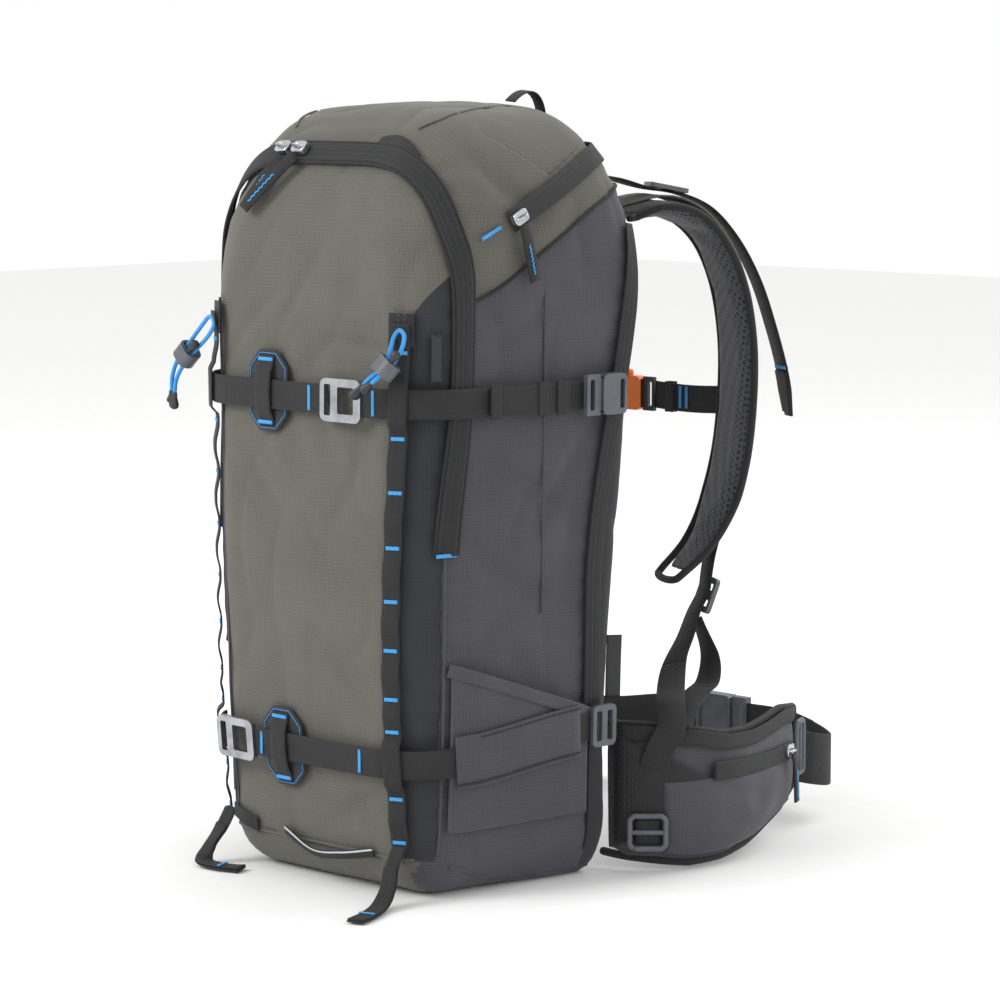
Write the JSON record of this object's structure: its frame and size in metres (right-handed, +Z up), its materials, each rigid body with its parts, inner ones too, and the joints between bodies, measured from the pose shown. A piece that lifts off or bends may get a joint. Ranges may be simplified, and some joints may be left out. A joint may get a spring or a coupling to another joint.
{
  "type": "ski touring backpack",
  "caption": "Ski touring backpack with front panel and lid openings, compression straps with hooks, tool loops, padded shoulder straps, chest strap and hip belt.",
  "frame": {"origin": "on the floor under the middle of the bag, where the flat of its base rests", "axes": "+Z up, +Y towards the wearer, +X towards the right side as worn"},
  "size_m": [0.322, 0.5147, 0.536],
  "materials": {
    "ripstop_olive": "coated mini ripstop, matte",
    "ripstop_slate": "coated mini ripstop, matte",
    "webbing_black": "flat woven webbing and zip tape",
    "mesh_foam": "spacer mesh over foam",
    "frame_plastic": "moulded sheet",
    "aluminium_bare": "tumbled",
    "zinc_slider": "satin plated",
    "acetal_grey": "moulded",
    "acetal_orange": "moulded",
    "elastic_blue": "braided sheath over elastic"
  },
  "bodies": {
    "bag": {"base_panel": "ripstop_olive", "front_panel": "ripstop_olive", "lid_hood": "ripstop_olive", "back_panel": "ripstop_slate", "side_panel_right": "ripstop_slate", "side_panel_left": "ripstop_slate", "frame_sheet": "frame_plastic", "frame_stay": "aluminium_bare", "back_pad": "mesh_foam", "front_zip": "webbing_black", "lid_zip": "webbing_black", "back_zip_right": "webbing_black", "back_zip_left": "webbing_black", "side_pocket_right": "ripstop_slate", "side_pocket_left": "ripstop_slate", "upper_strap_right": "webbing_black", "upper_strap_left": "webbing_black", "lower_strap": "webbing_black", "upper_patch": "webbing_black", "lower_patch": "webbing_black", "daisy_chain_right": "webbing_black", "daisy_chain_left": "webbing_black", "side_buckle_socket": "acetal_grey", "bungee_right": "elastic_blue", "cord_lock_right": "acetal_grey", "bungee_left": "elastic_blue", "cord_lock_left": "acetal_grey"},
    "flap": {"lid_flap": "ripstop_olive"},
    "front_slider_r": {"front_slider_right": "zinc_slider"},
    "front_slider_l": {"front_slider_left": "zinc_slider"},
    "front_pull_r": {"front_pull_right": "webbing_black"},
    "front_pull_l": {"front_pull_left": "webbing_black"},
    "lid_slide_body": {"lid_slider": "zinc_slider"},
    "lid_tab": {"lid_pull": "webbing_black"},
    "upper_hook_body": {"upper_hook": "aluminium_bare"},
    "lower_hook_body": {"lower_hook": "aluminium_bare"},
    "side_prongs": {"side_buckle_prongs": "acetal_grey"},
    "low_lock": {"lower_lock": "acetal_grey"},
    "grab_loop": {"haul_loop": "webbing_black"},
    "strap_right": {"strap_pad_right": "mesh_foam", "load_lifter_right": "webbing_black", "strap_webbing_right": "webbing_black"},
    "strap_left": {"strap_pad_left": "mesh_foam", "load_lifter_left": "webbing_black", "strap_webbing_left": "webbing_black"},
    "lifter_lock_r": {"lifter_lock_right": "acetal_grey"},
    "lifter_lock_l": {"lifter_lock_left": "acetal_grey"},
    "strap_lock_r": {"strap_lock_right": "acetal_grey"},
    "strap_lock_l": {"strap_lock_left": "acetal_grey"},
    "chest_right": {"sternum_webbing_right": "webbing_black", "sternum_prongs": "acetal_grey"},
    "chest_left": {"sternum_webbing_left": "webbing_black", "sternum_socket": "acetal_orange"},
    "hip_right": {"hip_fin_right": "ripstop_slate", "hip_webbing_right": "webbing_black", "hip_prongs": "acetal_grey"},
    "hip_left": {"hip_fin_left": "ripstop_slate", "hip_webbing_left": "webbing_black", "hip_socket": "acetal_grey"},
    "hip_zip": {"hip_slider": "zinc_slider"}
  },
  "joints": [
    {"name": "lid_flap_fold", "type": "hinge", "parent": "bag", "child": "flap", "pos_m": [0, -0.025, 0.5355], "axis": [1, 0, 0], "range_deg": [0, 60]},
    {"name": "front_slider_right_run", "type": "slide", "parent": "bag", "child": "front_slider_r", "axis": [0.9997, -0.0261, -0.001], "range_m": [0, 0.015]},
    {"name": "front_slider_left_run", "type": "slide", "parent": "bag", "child": "front_slider_l", "axis": [0.9988, -0.0481, -0.0018], "range_m": [0, 0.015]},
    {"name": "front_pull_right_flip", "type": "hinge", "parent": "front_slider_r", "child": "front_pull_r", "pos_m": [-0.04, -0.0844, 0.5025], "axis": [-1, 0, 0], "range_deg": [0, 70]},
    {"name": "front_pull_left_flip", "type": "hinge", "parent": "front_slider_l", "child": "front_pull_l", "pos_m": [-0.04, -0.0844, 0.5025], "axis": [-1, 0, 0], "range_deg": [0, 70]},
    {"name": "lid_slider_run", "type": "slide", "parent": "bag", "child": "lid_slide_body", "axis": [0.0314, 0.8952, 0.4446], "range_m": [0, 0.018]},
    {"name": "lid_pull_flip", "type": "hinge", "parent": "lid_slide_body", "child": "lid_tab", "pos_m": [0.12516, -0.01803, 0.45542], "axis": [0, -1, 0], "range_deg": [0, 30]},
    {"name": "upper_hook_swing", "type": "hinge", "parent": "bag", "child": "upper_hook_body", "pos_m": [0.02436, -0.11326, 0.338], "axis": [0, 0, -1], "range_deg": [0, 60]},
    {"name": "lower_hook_swing", "type": "hinge", "parent": "bag", "child": "lower_hook_body", "pos_m": [-0.0484, -0.11175, 0.096], "axis": [0, 0, 1], "range_deg": [0, 60]},
    {"name": "side_buckle_unclip", "type": "slide", "parent": "bag", "child": "side_prongs", "axis": [-0.0698, -0.9976, 0], "range_m": [0, 0.01]},
    {"name": "lower_lock_tilt", "type": "hinge", "parent": "bag", "child": "low_lock", "pos_m": [0.12941, 0.06434, 0.108], "axis": [0, 0, 1], "range_deg": [0, 25]},
    {"name": "haul_loop_fold", "type": "hinge", "parent": "bag", "child": "grab_loop", "pos_m": [0, 0.10093, 0.48686], "axis": [-1, 0, 0], "range_deg": [0, 60]},
    {"name": "strap_right_swing", "type": "hinge", "parent": "bag", "child": "strap_right", "pos_m": [0.072, 0.1, 0.3], "axis": [0, 0, 1], "range_deg": [-3, 3], "deforming": ["strap_webbing_right"]},
    {"name": "strap_left_swing", "type": "hinge", "parent": "bag", "child": "strap_left", "pos_m": [-0.072, 0.1, 0.3], "axis": [0, 0, 1], "range_deg": [-3, 3], "deforming": ["strap_webbing_left"]},
    {"name": "lifter_lock_right_tilt", "type": "hinge", "parent": "strap_right", "child": "lifter_lock_r", "pos_m": [0.09895, 0.13654, 0.47553], "axis": [1, 0, 0], "range_deg": [0, 25]},
    {"name": "lifter_lock_left_tilt", "type": "hinge", "parent": "strap_left", "child": "lifter_lock_l", "pos_m": [-0.09989, 0.13654, 0.47553], "axis": [1, 0, 0], "range_deg": [0, 25]},
    {"name": "strap_lock_right_tilt", "type": "hinge", "parent": "strap_right", "child": "strap_lock_r", "pos_m": [0.10099, 0.19007, 0.19651], "axis": [0.8988, -0.4384, 0], "range_deg": [0, 25]},
    {"name": "strap_lock_left_tilt", "type": "hinge", "parent": "strap_left", "child": "strap_lock_l", "pos_m": [-0.10099, 0.19007, 0.19651], "axis": [0.8988, 0.4384, 0], "range_deg": [0, 25]},
    {"name": "chest_strap_right_turn", "type": "hinge", "parent": "strap_right", "child": "chest_right", "pos_m": [0.09451, 0.21726, 0.32], "axis": [0, 0, 1], "range_deg": [-5, 5]},
    {"name": "chest_strap_left_turn", "type": "hinge", "parent": "strap_left", "child": "chest_left", "pos_m": [-0.09451, 0.21726, 0.32], "axis": [0, 0, 1], "range_deg": [-5, 5]},
    {"name": "hip_fin_right_open", "type": "hinge", "parent": "bag", "child": "hip_right", "pos_m": [0.104, 0.0802, 0.052], "axis": [0, 0, -1], "range_deg": [0, 14]},
    {"name": "hip_fin_left_open", "type": "hinge", "parent": "bag", "child": "hip_left", "pos_m": [-0.104, 0.0802, 0.052], "axis": [0, 0, 1], "range_deg": [0, 14]},
    {"name": "hip_zip_run", "type": "slide", "parent": "hip_right", "child": "hip_zip", "axis": [0.3419, -0.9397, 0], "range_m": [0, 0.03]}
  ],
  "couplings": [
    {"joint": "front_slider_left_run", "follows": "front_slider_right_run", "ratio": 1},
    {"joint": "front_pull_left_flip", "follows": "front_pull_right_flip", "ratio": 1},
    {"joint": "strap_left_swing", "follows": "strap_right_swing", "ratio": 1},
    {"joint": "chest_strap_right_turn", "follows": "strap_right_swing", "ratio": -0.7618},
    {"joint": "chest_strap_left_turn", "follows": "strap_right_swing", "ratio": -0.7618},
    {"joint": "hip_fin_left_open", "follows": "hip_fin_right_open", "ratio": 1}
  ]
}
